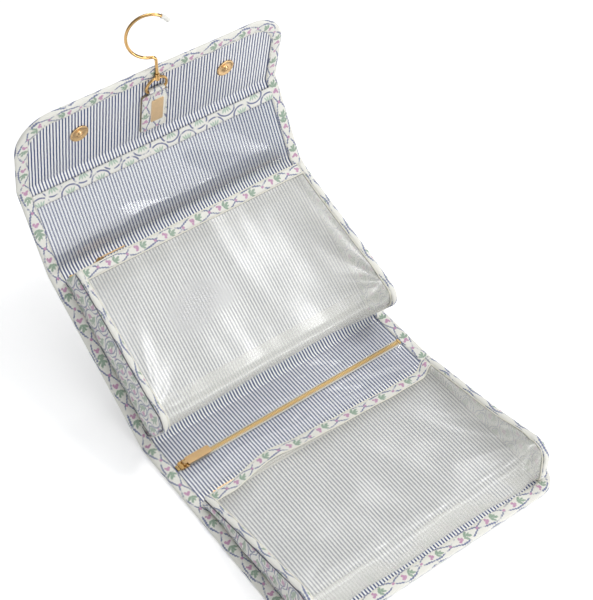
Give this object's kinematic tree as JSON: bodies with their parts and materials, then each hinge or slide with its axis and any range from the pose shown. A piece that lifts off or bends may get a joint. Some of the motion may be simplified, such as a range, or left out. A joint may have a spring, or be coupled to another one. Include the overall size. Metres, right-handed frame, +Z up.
{
  "type": "hanging toiletry bag",
  "caption": "Fold-out hanging toiletry bag: hinged fabric sections with clear zipped pouches, clear flat pockets, a snap flap and a swivel hook.",
  "frame": {"origin": "middle of the underside of the front section, on the surface that the bag lies on", "axes": "+X across the bag, +Y along it towards the hook, +Z up out of the lining"},
  "size_m": [0.27, 0.4175, 0.3099],
  "materials": {
    "print_cloth": "printed cotton with a soft coating",
    "stripe_lining": "narrow striped lining",
    "stiffener": "pressed felt board",
    "heavy_stiffener": "plastic board",
    "clear_vinyl": "clear soft vinyl",
    "piping": "ivory piping",
    "zip_tape": "woven tape",
    "zip_teeth": "dull gold",
    "gold_metal": "polished pale gold",
    "gold_plate": "satin gold",
    "rubber_cap": "white soft cap"
  },
  "bodies": {
    "front": {"front_binding": "print_cloth", "front_board": "heavy_stiffener", "front_lining": "stripe_lining", "front_shell": "print_cloth", "lower_band": "print_cloth", "lower_clear_front": "clear_vinyl", "lower_gusset_left": "print_cloth", "lower_gusset_right": "print_cloth", "lower_piping": "piping", "lower_zip_stops": "zip_teeth", "lower_zip_tape": "zip_tape", "lower_zip_teeth": "zip_teeth", "snap_sockets": "gold_metal"},
    "spine": {"spine_binding": "print_cloth", "spine_board": "heavy_stiffener", "spine_clear_high": "clear_vinyl", "spine_clear_low": "clear_vinyl", "spine_lining": "stripe_lining", "spine_shell": "print_cloth", "spine_zip_stops": "zip_teeth", "spine_zip_tape": "zip_tape", "spine_zip_teeth": "zip_teeth"},
    "back": {"back_binding": "print_cloth", "back_board": "stiffener", "back_lining": "stripe_lining", "back_shell": "print_cloth", "upper_band": "print_cloth", "upper_clear_front": "clear_vinyl", "upper_gusset_left": "print_cloth", "upper_gusset_right": "print_cloth", "upper_piping": "piping", "upper_zip_stops": "zip_teeth", "upper_zip_tape": "zip_tape", "upper_zip_teeth": "zip_teeth"},
    "top": {"top_binding": "print_cloth", "top_board": "stiffener", "top_lining": "stripe_lining", "top_pocket_clear": "clear_vinyl", "top_pocket_trim": "print_cloth", "top_shell": "print_cloth"},
    "flap": {"flap_binding": "print_cloth", "flap_board": "stiffener", "flap_lining": "stripe_lining", "flap_shell": "print_cloth", "hanging_tab": "print_cloth", "snap_studs": "gold_metal", "tab_loop": "print_cloth", "tab_plate": "gold_plate"},
    "ring": {"d_ring": "gold_metal"},
    "hook": {"hook_cap": "rubber_cap", "swivel_head": "gold_metal", "swivel_hook": "gold_metal"},
    "lower_slider": {"lower_slider": "gold_metal"},
    "lower_pull": {"lower_pull": "gold_metal"},
    "spine_slider": {"spine_slider": "gold_metal"},
    "spine_pull": {"spine_pull": "gold_metal"},
    "upper_slider": {"upper_slider": "gold_metal"},
    "upper_pull": {"upper_pull": "gold_metal"}
  },
  "joints": [
    {"name": "spine_fold", "type": "hinge", "parent": "front", "child": "spine", "pos_m": [0, 0.0835, 0.003], "axis": [1, 0, 0], "range_deg": [0, 90]},
    {"name": "back_fold", "type": "hinge", "parent": "spine", "child": "back", "pos_m": [0, 0.155, 0.003], "axis": [1, 0, 0], "range_deg": [-35.6, 54.4]},
    {"name": "top_fold", "type": "hinge", "parent": "back", "child": "top", "pos_m": [0, 0.29323, 0.10196], "axis": [1, 0, 0], "range_deg": [-26, 64]},
    {"name": "flap_fold", "type": "hinge", "parent": "top", "child": "flap", "pos_m": [0, 0.33104, 0.17189], "axis": [1, 0, 0], "range_deg": [-38, 51]},
    {"name": "ring_pivot", "type": "hinge", "parent": "flap", "child": "ring", "pos_m": [0, 0.3188, 0.22865], "axis": [-1, 0, 0], "range_deg": [-160, 0]},
    {"name": "hook_swivel", "type": "hinge", "parent": "ring", "child": "hook", "pos_m": [0, 0.31547, 0.24419], "axis": [0, 0.0087, 1], "continuous": true},
    {"name": "spine_zip_slide", "type": "slide", "parent": "spine", "child": "spine_slider", "axis": [1, 0, 0], "range_m": [0, 0.231]},
    {"name": "spine_pull_hinge", "type": "hinge", "parent": "spine_slider", "child": "spine_pull", "pos_m": [-0.1155, 0.1195, 0.00755], "axis": [0, 1, 0], "range_deg": [-170, 0]},
    {"name": "upper_zip_slide", "type": "slide", "parent": "back", "child": "upper_slider", "axis": [1, 0, 0], "range_m": [-0.022, 0.208]},
    {"name": "upper_pull_hinge", "type": "hinge", "parent": "upper_slider", "child": "upper_pull", "pos_m": [-0.093, 0.27925, 0.1104], "axis": [0, 0.5821, -0.8131], "range_deg": [-170, 0]},
    {"name": "lower_zip_slide", "type": "slide", "parent": "front", "child": "lower_slider", "axis": [1, 0, 0], "range_m": [-0.003, 0.227]},
    {"name": "lower_pull_hinge", "type": "hinge", "parent": "lower_slider", "child": "lower_pull", "pos_m": [-0.112, 0.07805, 0.0078], "axis": [0, 0, -1], "range_deg": [-170, 0]}
  ]
}
